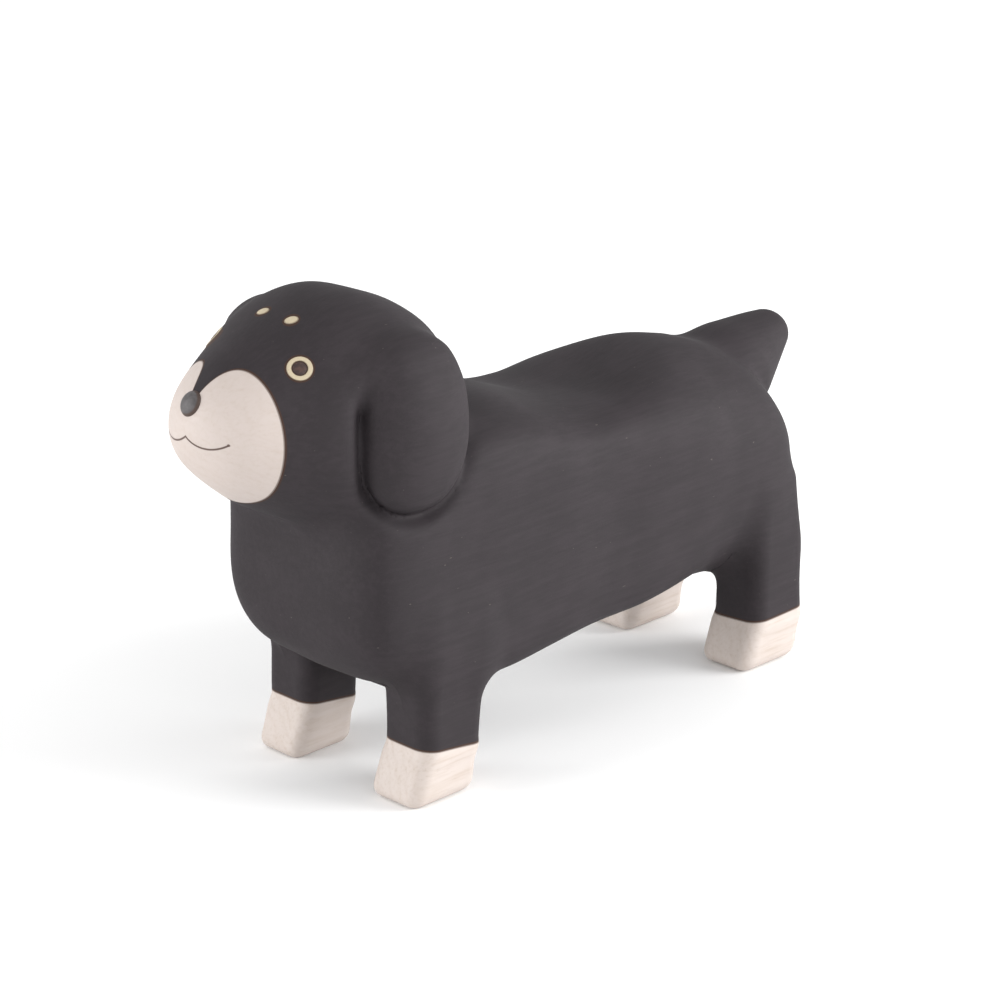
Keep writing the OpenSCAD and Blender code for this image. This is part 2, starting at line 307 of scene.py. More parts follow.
def stub_tail(p):
    """Blunt cone that carries the line of the back out past the rump."""
    return cone(p, TAIL_ROOT, TAIL_TIP, *TAIL_R)


print("tail length over all:", round(float(np.linalg.norm(TAIL_TIP - TAIL_ROOT)) + sum(TAIL_R), 1), "mm")

# %% The whole skin
def waviness(p):
    """Slow unevenness of hand work, about a tenth of a millimetre: a sum of sines of sheared coordinates."""
    x, y, z = p.T
    return 0.05 * (np.sin(0.31 * x + 0.47 * y + 1.0) + np.sin(0.52 * z - 0.23 * y + 0.4 * x)
                   + 0.7 * np.sin(0.71 * x - 0.36 * z + 0.29 * y + 2.0))


def carved(p):
    """The whole dog's skin, in millimetres, at the points p. The blend is wide where two masses meet softly,
    and narrow where the knife left a crease: below the tail, under the ear, inside the front legs. The
    waviness fades out at the soles."""
    q = np.stack([np.abs(p[:, 0]), p[:, 1], p[:, 2]], 1)
    ear = hanging_ear(q)
    skin = blend(trunk(q), skull_and_snout(q), 3.5) + gouge_round_ear(q, ear)
    skin = blend(skin, ear, 1.0 + 4.0 * np.clip((q[:, 2] - 53) / 6, 0, 1))
    front_round = 1.0 + 2.8 * np.clip((q[:, 0] - 8) / 3, 0, 1)
    skin = blend(skin, limb(by_hand(p, q, FRONT_LEG_Y, 0.93, -0.4), FRONT_LEG_Y, 0.10), front_round)
    skin = blend(skin, limb(by_hand(p, q, REAR_LEG_Y, 1.07, 0.2), REAR_LEG_Y, -0.02), 4.0)
    skin = blend(skin, stub_tail(q), 1.5 + 3.4 * np.clip((q[:, 2] - 38) / 6, 0, 1))
    return skin + waviness(p) * np.clip(p[:, 2] / 3, 0, 1)


def slopes(p, step=0.02):
    """Unit gradient of the skin's formula by central differences: the outward normal at the points p."""
    shifts = np.eye(3) * step
    rise = np.stack([carved(p + shift) - carved(p - shift) for shift in shifts], 1)
    return rise / np.maximum(np.linalg.norm(rise, axis=1, keepdims=True), 1e-9)


spots = np.array([[0, -54.0, 52], [0, 5, 44.6], [10.8, -24, 0]])
print("skin formula at the nose, the back and a sole, in mm:", np.round(carved(spots), 2))

# %% [markdown]
# ## From formula to surface
# A surface of two parameters needs a starting line inside the wood. Rays leave a short core line, all round
# it and in a half ball at each end, and each ray runs outwards until it meets the carved skin. That is
# how a pointing machine copies a sculpture: every grid point is one measured depth. The rows and columns of
# rays become the rows and columns of the mesh, and a single point closes each pole.

# %% Lengths of rays
def ray_lengths(form, starts, ways):
    """For each ray, the length at which form turns positive: steps of half the depth while inside, and then
    twelve halvings of the last step."""
    inner = np.zeros(len(starts))
    outer = np.full(len(starts), 0.05)
    active = np.ones(len(starts), bool)
    for _ in range(90):
        index = np.flatnonzero(active)
        if len(index) == 0:
            break
        depth = form(starts[index] + ways[index] * outer[index, None])
        inside = depth < 0
        inner[index[inside]] = outer[index[inside]]
        outer[index[inside]] += np.clip(-0.5 * depth[inside], 0.04, 3.0)
        active[index[~inside]] = False
    for _ in range(12):
        half_way = (inner + outer) / 2
        inside = form(starts + ways * half_way[:, None]) < 0
        inner = np.where(inside, half_way, inner)
        outer = np.where(inside, outer, half_way)
    return outer


ball = ray_lengths(lambda p: np.linalg.norm(p, axis=1) - 7.0, np.zeros((1, 3)), np.array([[0.0, 0.0, 1.0]]))
print("a ray from the middle of a 7 mm ball is", np.round(ball, 3), "mm long")

# %% Rays round a core line
def capsule_rays(start, end, cap_rows, core_rows, columns):
    """Rays round the core line from start to end. Column angle t and row angle f give the direction
    cos f axis + sin f (cos t across + sin t other): f runs from 0 to 90 degrees at one end, stays 90 along
    the core, and runs from 90 to 180 at the other. The first and last rays are the two poles."""
    start, end = np.array(start, float), np.array(end, float)
    axis = (start - end) / np.linalg.norm(start - end)
    across = np.array([1.0, 0.0, 0.0])
    other = np.cross(axis, across)
    cap = np.arange(1, cap_rows) / cap_rows * np.pi / 2
    f = np.concatenate([cap, np.full(core_rows, np.pi / 2), np.pi - cap[::-1]])
    along = np.concatenate([np.zeros(cap_rows - 1), np.linspace(0, 1, core_rows), np.ones(cap_rows - 1)])
    t = np.arange(columns) / columns * 2 * np.pi
    ff, tt = np.meshgrid(f, t, indexing="ij")
    ways = (np.cos(ff)[..., None] * axis + np.sin(ff)[..., None]
            * (np.cos(tt)[..., None] * across + np.sin(tt)[..., None] * other))
    starts = np.broadcast_to((start + (end - start) * along[:, None])[:, None, :], ways.shape)
    return (np.concatenate([[start], starts.reshape(-1, 3), [end]]),
            np.concatenate([[axis], ways.reshape(-1, 3), [-axis]]), len(f))

# %% Faces between the points
def grid_faces(rows, columns, round_rows=False):
    """Quads of a grid that closes across its columns, and across its rows too if round_rows."""
    i, j = np.meshgrid(np.arange(rows if round_rows else rows - 1), np.arange(columns), indexing="ij")
    after_i, after_j = (i + 1) % rows, (j + 1) % columns
    corners = [i * columns + j, i * columns + after_j, after_i * columns + after_j, after_i * columns + j]
    return np.stack([corner.ravel() for corner in corners], 1)


def pole_faces(rows, columns):
    """Triangles from the first and the last point of a list to the first and the last row between them."""
    ring = np.arange(columns)
    after = (ring + 1) % columns
    last_row = 1 + (rows - 1) * columns
    first = np.stack([np.zeros(columns, int), 1 + after, 1 + ring], 1)
    last = np.stack([np.full(columns, last_row + columns), last_row + ring, last_row + after], 1)
    return np.concatenate([first, last])

# %% Closed solids
def volume(mesh):
    """The sum over triangles of a . (b x c) / 6 in cubic millimetres, positive when faces point outwards."""
    mesh.calc_loop_triangles()
    points = np.zeros(len(mesh.vertices) * 3)
    mesh.vertices.foreach_get("co", points)
    corners = np.zeros(len(mesh.loop_triangles) * 3, int)
    mesh.loop_triangles.foreach_get("vertices", corners)
    a, b, c = np.moveaxis(points.reshape(-1, 3)[corners.reshape(-1, 3)], 1, 0)
    return float((a * np.cross(b, c)).sum() / 6) / MM ** 3


def solid(name, points, faces):
    """A closed mesh object at the origin from points in millimetres, with its faces turned outwards."""
    mesh = bpy.data.meshes.new(name)
    mesh.from_pydata((np.asarray(points) * MM).tolist(), [], faces)
    if volume(mesh) < 0:
        mesh.flip_normals()
    piece = bpy.data.objects.new(name, mesh)
    bpy.context.scene.collection.objects.link(piece)
    return piece


def lathe_grid(name, first_pole, rings, last_pole):
    """A closed solid from rings of points, rows by columns by 3, and a pole at each end."""
    rows, columns = rings.shape[:2]
    points = np.concatenate([[first_pole], rings.reshape(-1, 3), [last_pole]])
    faces = (grid_faces(rows, columns) + 1).tolist() + pole_faces(rows, columns).tolist()
    return solid(name, points, faces)


def carve(name, form, start, end, cap_rows, core_rows, columns):
    """The closed surface at which the rays from the core line leave the form."""
    starts, ways, rows = capsule_rays(start, end, cap_rows, core_rows, columns)
    points = starts + ways * ray_lengths(form, starts, ways)[:, None]
    return lathe_grid(name, points[0], points[1:-1].reshape(rows, columns, 3), points[-1])

# %% [markdown]
# ## Blocks and cuts
# The joints of the real dog are flat or gently curved faces between glued blocks, and the knife went over
# them afterwards. So each piece is carved a little past its joint and then cut by its block with a Boolean.
# Both sides of a joint are cut by the same block, so they meet face to face with no gap and no overlap. The
# blocks are plain lofts: rings of points, joined and capped.

# %% Cutting tools
def cut(piece, tool, operation):
    """Boolean with a closed tool, applied at once: DIFFERENCE takes it away, INTERSECT keeps its inside."""
    boolean = piece.modifiers.new("cut", "BOOLEAN")
    boolean.operation = operation
    boolean.solver = "MANIFOLD"
    boolean.object = tool
    bpy.context.view_layer.update()
    result = bpy.data.meshes.new_from_object(piece.evaluated_get(bpy.context.evaluated_depsgraph_get()))
    piece.modifiers.clear()
    old = piece.data
    piece.data = result
    bpy.data.meshes.remove(old)
    result.name = piece.name
    return piece


def take_away(piece, *tools):
    """The piece without what lies inside any of the tools."""
    for tool in tools:
        cut(piece, tool, "DIFFERENCE")
    return piece


def keep_inside(piece, tool):
    """What the piece and the tool have in common."""
    return cut(piece, tool, "INTERSECT")


def ring_of(centre, first, second, squareness, count):
    """Superellipse ring: centre + first |cos t|^(2/n) sign(cos t) + second |sin t|^(2/n) sign(sin t)."""
    t = np.arange(count) / count * 2 * np.pi
    c, s = np.cos(t), np.sin(t)
    power = 2 / squareness
    return (np.array(centre) + np.outer(np.sign(c) * np.abs(c) ** power, first)
            + np.outer(np.sign(s) * np.abs(s) ** power, second))


def block(name, rings, first_pole=None, last_pole=None):
    """Loft through the rings. Each cap fans out from a pole, which is the middle of its ring unless given."""
    rings = np.array(rings, float)
    first_pole = rings[0].mean(0) if first_pole is None else first_pole
    last_pole = rings[-1].mean(0) if last_pole is None else last_pole
    return lathe_grid(name, first_pole, rings, last_pole)

# %% The neck joint
NECK_AT = np.array([-15.0, 48.45])  # Y and Z of the crease behind the skull, where the joint comes out
NECK_LEAN = np.tan(np.radians(16))
CHEST_Y = -39.2
HALF_WIDTH = 25.0
FRONT_Y, BACK_Y = -60.0, 20.0
LOW_Z, HIGH_Z = 20.0, 80.0


def neck_z(y):
    """Height of the sloping neck joint at the place y along the body."""
    return NECK_AT[1] + (y - NECK_AT[0]) * NECK_LEAN


neck_outline = np.array([[FRONT_Y, LOW_Z], [CHEST_Y, LOW_Z], [CHEST_Y, neck_z(CHEST_Y)],
                         [BACK_Y, neck_z(BACK_Y)], [BACK_Y, HIGH_Z], [FRONT_Y, HIGH_Z]])
neck_rings = [np.column_stack([np.full(6, x), neck_outline]) for x in (-HALF_WIDTH, HALF_WIDTH)]
head_block = block("head_block", neck_rings, (-HALF_WIDTH, -45, 60), (HALF_WIDTH, -45, 60))
print("neck joint, from the chest to the crease:", round(neck_z(CHEST_Y), 1), "to", NECK_AT[1], "mm high")

# %% The ears' seats
EAR_SEAT_X = 10.8


def ear_block(side):
    """Straight drop-shaped block from the ear's seat outwards, a little wider than the ear."""
    rings = [ring_of((side * x, EAR_AT[1], EAR_AT[2]), (0, 8.3, 0), (0, 0, 10.9), 2.2, 72)
             for x in (EAR_SEAT_X, 24.0)]
    return block("ear_block", rings)


ear_blocks = {side: ear_block(side) for side in (1, -1)}
print("ear blocks:", [round(volume(tool.data)) for tool in ear_blocks.values()], "mm3")

# %% The muzzle's joint
MUZZLE_Y = -46.3
BRIDGE_X = -0.35
BRIDGE_REACH, BRIDGE_WIDTH, BRIDGE_POWER = 7.0, 1.77, 1.1
BRIDGE_Z, BRIDGE_FADE = 53.2, 1.8


def muzzle_joint(x, z):
    """The muzzle's back face, y = joint - reach exp(-(|x - x0| / width)^power) above the nose, flat below."""
    fade = np.clip((z - BRIDGE_Z) / BRIDGE_FADE, 0, 1)
    fade = fade * fade * (3 - 2 * fade)
    return MUZZLE_Y - BRIDGE_REACH * np.exp(-(np.abs(x - BRIDGE_X) / BRIDGE_WIDTH) ** BRIDGE_POWER) * fade


across_x = np.sinh(np.linspace(-3, 3, 121)) / np.sinh(3) * 18
heights = np.linspace(34, 70, 91)
muzzle_rings = [np.concatenate([np.column_stack([across_x, muzzle_joint(across_x, z), np.full(121, z)]),
                                np.column_stack([across_x[::-1], np.full(121, -60.0), np.full(121, z)])])
                for z in heights]
muzzle_block = block("muzzle_block", muzzle_rings, (0, -57, heights[0]), (0, -57, heights[-1]))
print("muzzle joint: y", MUZZLE_Y, "and on the bridge", round(float(muzzle_joint(BRIDGE_X, 60.0)), 1), "mm")

# %% The legs' and paws' joints
LEG_TOP_Z = 17.0
BELLY_CLEAR_Z = 11.0
WIDE, NARROW = (9.0, 11.0), (5.4, 7.2)
ankle_tilts = {"front_left": (0.0, -0.13), "front_right": (0.01, -0.13),
               "rear_left": (0.05, 0.03), "rear_right": (-0.02, -0.03)}
legs = {"front_left": (1, FRONT_LEG_Y), "front_right": (-1, FRONT_LEG_Y),
        "rear_left": (1, REAR_LEG_Y), "rear_right": (-1, REAR_LEG_Y)}


def leg_ring(corner, half, z):
    """Level, rounded rectangle of those half sizes round a leg's middle."""
    side, leg_y = legs[corner]
    return ring_of((side * LEG_X, leg_y, z), (half[0], 0, 0), (0, half[1], 0), 4.5, 64)


def tilted(corner, ring):
    """The ring moved up or down onto the slanting line where the coat's paint ends."""
    side, leg_y = legs[corner]
    across_tilt, along_tilt = ankle_tilts[corner]
    ring = ring.copy()
    ring[:, 2] = ANKLE_Z + across_tilt * (ring[:, 0] * side - LEG_X) + along_tilt * (ring[:, 1] - leg_y)
    return ring


def leg_block(corner):
    """From the ankle up: wide where the leg stands free, and the leg's size where it is let into the body."""
    rings = [tilted(corner, leg_ring(corner, WIDE, 0)), leg_ring(corner, WIDE, BELLY_CLEAR_Z)]
    rings += [leg_ring(corner, NARROW, z) for z in (BELLY_CLEAR_Z + 0.01, LEG_TOP_Z)]
    return block("leg_block", rings)


def paw_block(corner):
    """From below the floor up to the same slanting line."""
    return block("paw_block", [leg_ring(corner, WIDE, -4.0), tilted(corner, leg_ring(corner, WIDE, 0))])


leg_blocks = {corner: leg_block(corner) for corner in legs}
print("leg blocks:", {corner: round(volume(tool.data)) for corner, tool in leg_blocks.items()}, "mm3")

# %% The tail's joint
TAIL_JOINT_Y = 41.0
TAIL_BLOCK_R = 8.2
tail_rise = (TAIL_TIP[2] - TAIL_ROOT[2]) / (TAIL_TIP[1] - TAIL_ROOT[1])
tail_rings = [ring_of((0, y, TAIL_ROOT[2] + tail_rise * (y - TAIL_ROOT[1])), (TAIL_BLOCK_R, 0, 0),
                      (0, 0, TAIL_BLOCK_R), 2.0, 72) for y in (TAIL_JOINT_Y, 62.0)]
tail_block = block("tail_block", tail_rings)
print("tail block:", round(volume(tail_block.data)), "mm3")

# %% [markdown]
# ## Dowels and their bores
# The blocks of such a figurine are held by dowels until the glue has set. The frame already holds the six
# dowels as exact cylinders, so each bore is cut with a copy of its own dowel. The copy's loose triangles are
# joined first, because a Boolean needs a closed solid.

# %% Bores
def bore_tool(node):
    """Closed copy of a dowel."""
    shape = bmesh.new()
    shape.from_mesh(frame["nodes"][node].data)
    bmesh.ops.remove_doubles(shape, verts=shape.verts, dist=1e-6)
    mesh = bpy.data.meshes.new(node + "_bore")
    shape.to_mesh(mesh)
    shape.free()
    tool = bpy.data.objects.new(node + "_bore", mesh)
    bpy.context.scene.collection.objects.link(tool)
    return tool


bores = {name: bore_tool(name + "_dowel") for name in ("neck", "tail", *legs)}
print("bores:", {name: round(volume(tool.data), 1) for name, tool in bores.items()})

# %% [markdown]
# ## Torso, head, muzzle, ears, tail, legs and paws
# Each form is carved with a limit that lies 2 mm or more past its joints, so that the rays don't run on into
# the neighbour and the grid stays even where it is cut.

# %% Limits of the forms
PAST = 2.0


def torso_limit(p):
    """The skin, but no higher than just above the neck joint and no lower than where the legs are let in."""
    above_neck = p[:, 2] - neck_z(p[:, 1]) - PAST
    return np.maximum(np.maximum(carved(p), above_neck), BELLY_CLEAR_Z - PAST - p[:, 2])


def head_limit(p):
    """The skin, but no lower than just below the neck joint, except at the chin, in front of the chest."""
    floor_z = np.where(p[:, 1] < CHEST_Y + PAST, 30.0, neck_z(p[:, 1]) - PAST)
    return np.maximum(carved(p), floor_z - p[:, 2])

# %% Torso
torso = carve("torso_wood", torso_limit, (0, -24, 29), (0, 29, 29), 60, 130, 240)
take_away(torso, head_block, tail_block, *ear_blocks.values(), *leg_blocks.values())
take_away(torso, *bores.values())
print("torso:", round(volume(torso.data)), "mm3,", len(torso.data.polygons), "faces")

# %% Head and muzzle
head = carve("head_wood", head_limit, (0, -27, 52), (0, -42, 51.4), 60, 44, 240)
keep_inside(head, head_block)
take_away(head, muzzle_block, *ear_blocks.values(), bores["neck"])
muzzle = carve("muzzle_wood", lambda p: np.maximum(carved(p), p[:, 1] - MUZZLE_Y - PAST),
               (0, -45.5, 51.2), (0, -47.5, 51.2), 60, 8, 200)
keep_inside(muzzle, muzzle_block)
print("head:", round(volume(head.data)), "mm3, muzzle:", round(volume(muzzle.data)), "mm3")

# %% Ears and tail
ears = {}
for name, side in (("left", 1), ("right", -1)):
    ears[name] = carve(name + "_ear_wood", lambda p: np.maximum(carved(p), EAR_SEAT_X - 1 - p[:, 0] * side),
                       (side * 13.0, EAR_AT[1], 52.5), (side * 13.0, EAR_AT[1], 46.5), 48, 24, 140)
    keep_inside(ears[name], ear_blocks[side])
tail = carve("tail_wood", lambda p: np.maximum(carved(p), TAIL_JOINT_Y - 1 - p[:, 1]),
             (0, 43.5, 38.1), (0, 50.4, 40.8), 40, 24, 120)
keep_inside(tail, tail_block)
take_away(tail, bores["tail"])
print("ear:", round(volume(ears["left"].data)), "mm3, tail:", round(volume(tail.data)), "mm3")

# %% Legs and paws
leg_pieces, paw_pieces = {}, {}
for corner, (side, leg_y) in legs.items():
    core = ((side * LEG_X, leg_y, 12.5), (side * LEG_X, leg_y - 0.6, 3.4))
    ends = ("leg", leg_pieces, leg_blocks[corner]), ("paw", paw_pieces, paw_block(corner))
    for suffix, pieces, tool in ends:
        form = carve(f"{corner}_{suffix}_wood", lambda p: np.maximum(carved(p), p[:, 2] - LEG_TOP_Z - PAST),
                     *core, 30, 90, 128)
        pieces[corner] = take_away(keep_inside(form, tool), bores[corner])
    print(corner, "leg:", round(volume(leg_pieces[corner].data)), "mm3, paw:",
          round(volume(paw_pieces[corner].data)), "mm3")

# %% [markdown]
# ## Nose, eyes and brow spots
# On the real dog these are tiny islands in the coat: a button nose in grey paint, rings of bare wood round
# dark burnt pupils, and two bare dots over the eyes. Each is made as an inlay that lies on the carved skin: a
# small profile is swept round an aiming line, and every one of its points is first dropped onto the skin. The
# finished inlay then cuts its own socket.

# %% Sweeping an inlay
def onto_skin(points, aim):
    """Points moved along aim until they lie on the skin, by halving between 4 mm outside and 4 mm inside."""
    low, high = np.full(len(points), -4.0), np.full(len(points), 4.0)
    for _ in range(26):
        half_way = (low + high) / 2
        inside = carved(points + aim * half_way[:, None]) < 0
        low = np.where(inside, half_way, low)
        high = np.where(inside, high, half_way)
    return points + aim * low[:, None]


def inlay(name, at, aim, size, profile, turn=0.0, columns=64):
    """Sweep: profile points (share, height) are placed at share size (cos t, sin t) across the aim, dropped
    onto the skin and raised by height. A profile that starts and ends at share 0 is a button, any other is
    a closed ring. The attribute rim says how near a point is to the edge, from 0 to 1."""
    aim = np.array(aim) / np.linalg.norm(aim)
    level = np.cross((0, 0, 1), aim)
    level = level / np.linalg.norm(level)
    upward = np.cross(aim, level)
    a = np.radians(turn)
    first, second = level * np.cos(a) + upward * np.sin(a), upward * np.cos(a) - level * np.sin(a)
    t = np.arange(columns) / columns * 2 * np.pi
    round_it = size[0] * np.outer(np.cos(t), first) + size[1] * np.outer(np.sin(t), second)
    share, height = np.array(profile, float).T
    flat = (np.array(at) + share[:, None, None] * round_it).reshape(-1, 3)
    rings = (onto_skin(flat, aim) + np.repeat(height, columns)[:, None] * aim).reshape(-1, columns, 3)
    if share[0] == 0:
        piece = lathe_grid(name, rings[0, 0], rings[1:-1], rings[-1, 0])
        shares = np.concatenate([[0], np.repeat(share[1:-1], columns), [0]])
    else:
        piece = solid(name, rings.reshape(-1, 3), grid_faces(len(rings), columns, round_rows=True).tolist())
        middle = (1 + share[0]) / 2
        shares = np.repeat(np.abs(share - middle) / (1 - middle), columns)
    rim = piece.data.attributes.new("rim", "FLOAT", "POINT")
    rim.data.foreach_set("value", shares)
    return piece


up_from_back = np.array([[0.0, 5.0, 45.0]])
print("the back lies at", np.round(onto_skin(up_from_back, np.array([0.0, 0.0, 1.0])), 2))

# %% Profiles of a button and of a ring
INLAY_DEPTH = 0.9


def button_profile(rise, edge=0.12):
    """Over the top: rise sqrt(1 - share^2) from the middle to the rim; then down the side and back below."""
    share = np.sin(np.linspace(0, np.pi / 2, 15))
    top = [(s, rise * np.sqrt(max(1 - s ** 2.4, 0)) - edge * s ** 8) for s in share]
    return top + [(1, -INLAY_DEPTH), (0, -INLAY_DEPTH)]


def ring_profile(inner, rise):
    """A flat band from the share inner to 1 with softened edges, and its underside."""
    band = [(inner + (1 - inner) * u, rise * (1 - (2 * u - 1) ** 6)) for u in np.linspace(0, 1, 11)]
    return band + [(1, -INLAY_DEPTH), (inner, -INLAY_DEPTH)]

# %% Nose, eyes and brow spots
# Each is a place on the skin and the way it faces. The right eye sits a little further round the head.
EYE = (7.8, -42.15, 59.1), (0.55, -0.47, 0.69)
RIGHT_EYE = (9.2, -40.9, 59.1), (0.65, -0.39, 0.66)
BROW = (2.55, -38.65, 63.2), (0.12, -0.41, 0.91)
NOSE = (-0.4, -52.25, 55.3), (-0.06, -0.82, 0.56)
EYE_R, PUPIL_R = 1.6, 0.95
BROW_SIZE, BROW_TURN, BROW_LINE_R = (1.0, 0.78), 28, 0.9
NOSE_SIZE, NOSE_RISE = (1.6, 1.65), 0.75
PAINTED_RISE = 0.12


def mirrored(vector, side):
    """The vector as it is for side 1, and with X turned round for side -1."""
    return np.array(vector) * (side, 1, 1)


nose = inlay("nose_button", *NOSE, NOSE_SIZE, button_profile(NOSE_RISE))
eye_rings, pupils, brows = {}, {}, {}
band, dot = ring_profile(PUPIL_R / EYE_R, 0.1), button_profile(PAINTED_RISE)
for name, side in (("left", 1), ("right", -1)):
    eye_at, eye_aim = (mirrored(v, side) for v in (EYE if side > 0 else RIGHT_EYE))
    eye_rings[name] = inlay(name + "_eye_band", eye_at, eye_aim, (EYE_R, EYE_R), band)
    pupils[name] = inlay(name + "_pupil_dot", eye_at, eye_aim, (PUPIL_R, PUPIL_R), dot)
    brow_at, brow_aim = (mirrored(v, side) for v in BROW)
    brows[name] = inlay(name + "_brow_dot", brow_at, brow_aim, BROW_SIZE, dot, turn=BROW_TURN)
take_away(head, nose, *eye_rings.values(), *pupils.values(), *brows.values())
take_away(muzzle, nose)
print("nose:", round(volume(nose.data), 2), "mm3, eye ring:", round(volume(eye_rings["left"].data), 2), "mm3")

# %% [markdown]
# ## Light over the joints
# A joint under paint doesn't show. The shading of a cut mesh would show it, because the normals next to a cut
# are averaged on one side only. So the cut meshes are sanded together: the points of the outer faces are
# moved the last hair's breadth onto the skin, and every face corner there takes its normal from the skin's
# formula. Every other corner keeps its face's normal, which leaves the joints' faces flat.

# %% Normals from the formula
def read(items, key, width, kind=float):
    """One attribute of all of a mesh's items as an array of rows."""
    values = np.zeros(len(items) * width, kind)
    items.foreach_get(key, values)
    return values.reshape(-1, width) if width > 1 else values


def shade_from_formula(piece, reach=0.3):
    """First each vertex of the outer faces moves along the slope onto the skin, p - skin(p) slope(p), so that
    neighbours meet exactly. Then a corner's normal is the slope where its face agrees, else the face's."""
    mesh = piece.data
    mesh.shade_smooth()
    points = read(mesh.vertices, "co", 3) / MM
    corners = read(mesh.loops, "vertex_index", 1, int)
    counts = read(mesh.polygons, "loop_total", 1, int)
    flat = np.repeat(read(mesh.polygons, "normal", 3), counts, axis=0)
    off, slope = carved(points), slopes(points)
    agrees = (np.abs(off) < reach)[corners] & ((slope[corners] * flat).sum(1) > 0.6)
    outer = np.zeros(len(points), bool)
    outer[corners[agrees]] = True
    points -= np.where(outer, off, 0.0)[:, None] * slope
    mesh.vertices.foreach_set("co", (points * MM).ravel())
    mesh.update()
    flat = np.repeat(read(mesh.polygons, "normal", 3), counts, axis=0)
    slope = slopes(points)[corners]
    agrees = outer[corners] & ((slope * flat).sum(1) > 0.6)
    mesh.normals_split_custom_set(np.where(agrees[:, None], slope, flat).tolist())


skinned = [torso, head, muzzle, tail, *ears.values(), *leg_pieces.values(), *paw_pieces.values()]
for piece in skinned:
    shade_from_formula(piece)
for piece in [nose, *eye_rings.values(), *pupils.values(), *brows.values()]:
    piece.data.shade_smooth()
    piece.data.set_sharp_from_angle(angle=np.radians(50))
# The cutting tools have done their work.
for thing in list(bpy.data.objects):
    if thing.name.endswith(("_block", "_bore")) or "_block." in thing.name or "_bore." in thing.name:
        bpy.data.objects.remove(thing)
print("triangles:", {one.name: sum(len(f.vertices) - 2 for f in one.data.polygons) for one in skinned[:5]})

# %% [markdown]
# ## Writing shaders as sums
# A node tree is a formula, so it reads best as one. The small class below wraps a socket: plus, minus, times
# and the like on it add Math nodes, and one method adds any other kind of node. All patterns are measured in
# millimetres on Object coordinates, so that grain runs straight through from block to block.

# %% Sockets with arithmetic
class Wire:
    """One output socket of a material, with the operators that the patterns below use."""

    def __init__(self, socket):
        self.socket = socket

    def node(self, kind, settings, sockets, out=0):
        """Add a node: its settings first, then values or links for its sockets. out picks its output."""
        tree = self.socket.id_data
        made = tree.nodes.new(kind)
        for key, value in settings.items():
            setattr(made, key, value)
        for key, value in sockets.items():
            if isinstance(value, Wire):
                tree.links.new(value.socket, made.inputs[key])
            else:
                made.inputs[key].default_value = value
        return Wire(made.outputs[out])

    def maths(self, operation, *others):
        return self.node("ShaderNodeMath", {"operation": operation}, dict(enumerate((self, *others))))

    def __add__(self, other):
        return self.maths("ADD", other)

    __radd__ = __add__

    def __mul__(self, other):
        return self.maths("MULTIPLY", other)

    __rmul__ = __mul__

    def __sub__(self, other):
        return self.maths("SUBTRACT", other)

    def __rsub__(self, other):
        return (self * -1.0) + other

    def __truediv__(self, other):
        return self.maths("DIVIDE", other)

    def __pow__(self, other):
        return self.maths("POWER", other)

    def __abs__(self):
        return self.maths("ABSOLUTE")

    def sine(self):
        return self.maths("SINE")

    def root(self):
        return self.maths("SQRT")

    def least(self, other):
        return self.maths("MINIMUM", other)

    def most(self, other):
        return self.maths("MAXIMUM", other)

    def ease(self, start, end):
        """0 at start and before it, 1 at end and after it, a smooth step between; end may be the smaller."""
        if start < end:
            return self.node("ShaderNodeMapRange", {"interpolation_type": "SMOOTHSTEP"},
                             {"Value": self, "From Min": start, "From Max": end})
        return 1.0 - self.ease(end, start)

    def stretched(self, factors):
        return self.node("ShaderNodeVectorMath", {"operation": "MULTIPLY"}, {0: self, 1: factors})

    def noise(self, scale, detail=2.0, roughness=0.5):
        return self.node("ShaderNodeTexNoise", {}, {"Vector": self, "Scale": scale, "Detail": detail,
                                                    "Roughness": roughness})

    def axis(self, name):
        return self.node("ShaderNodeSeparateXYZ", {}, {0: self}, "XYZ".index(name))


print("a wire can do:", [name for name in vars(Wire) if not name.startswith("_")])

# %% Colours, finishes and relief
def tint(base, other, share):
    """Colour mix from base to other, either a Wire or a colour."""
    start = share if isinstance(share, Wire) else next(w for w in (base, other) if isinstance(w, Wire))
    full = [w if isinstance(w, Wire) else (*w, 1.0) for w in (base, other)]
    return start.node("ShaderNodeMix", {"data_type": "RGBA"}, {0: share, 6: full[0], 7: full[1]}, 2)


def new_finish(name):
    """A material with its Principled shader, and the place on the object in millimetres as a Wire."""
    material = bpy.data.materials.new(name)
    material.use_nodes = True
    tree = material.node_tree
    place = Wire(tree.nodes.new("ShaderNodeTexCoord").outputs["Object"]).stretched((1 / MM,) * 3)
    return material, tree.nodes["Principled BSDF"], place


def plug(shader, **inputs):
    """Link wires to the shader's sockets, or set plain numbers on them."""
    tree = shader.id_data
    for key, value in inputs.items():
        target = shader.inputs[key.replace("_", " ")]
        if isinstance(value, Wire):
            tree.links.new(value.socket, target)
        else:
            target.default_value = value


def relief(height, depth_mm, strength=1.0):
    """Normal from a height pattern of 0 to 1 that stands for a depth in millimetres."""
    sockets = {"Strength": strength, "Distance": depth_mm * MM, "Height": height}
    return height.node("ShaderNodeBump", {}, sockets)

# %% [markdown]
# ## Where the coat's paint ends
# A thin burnt line follows the edge of the paint round the muzzle and above the paws. The edge is the same
# formula that shaped the joints, so the shader works it out again and knows how far every point is from it.

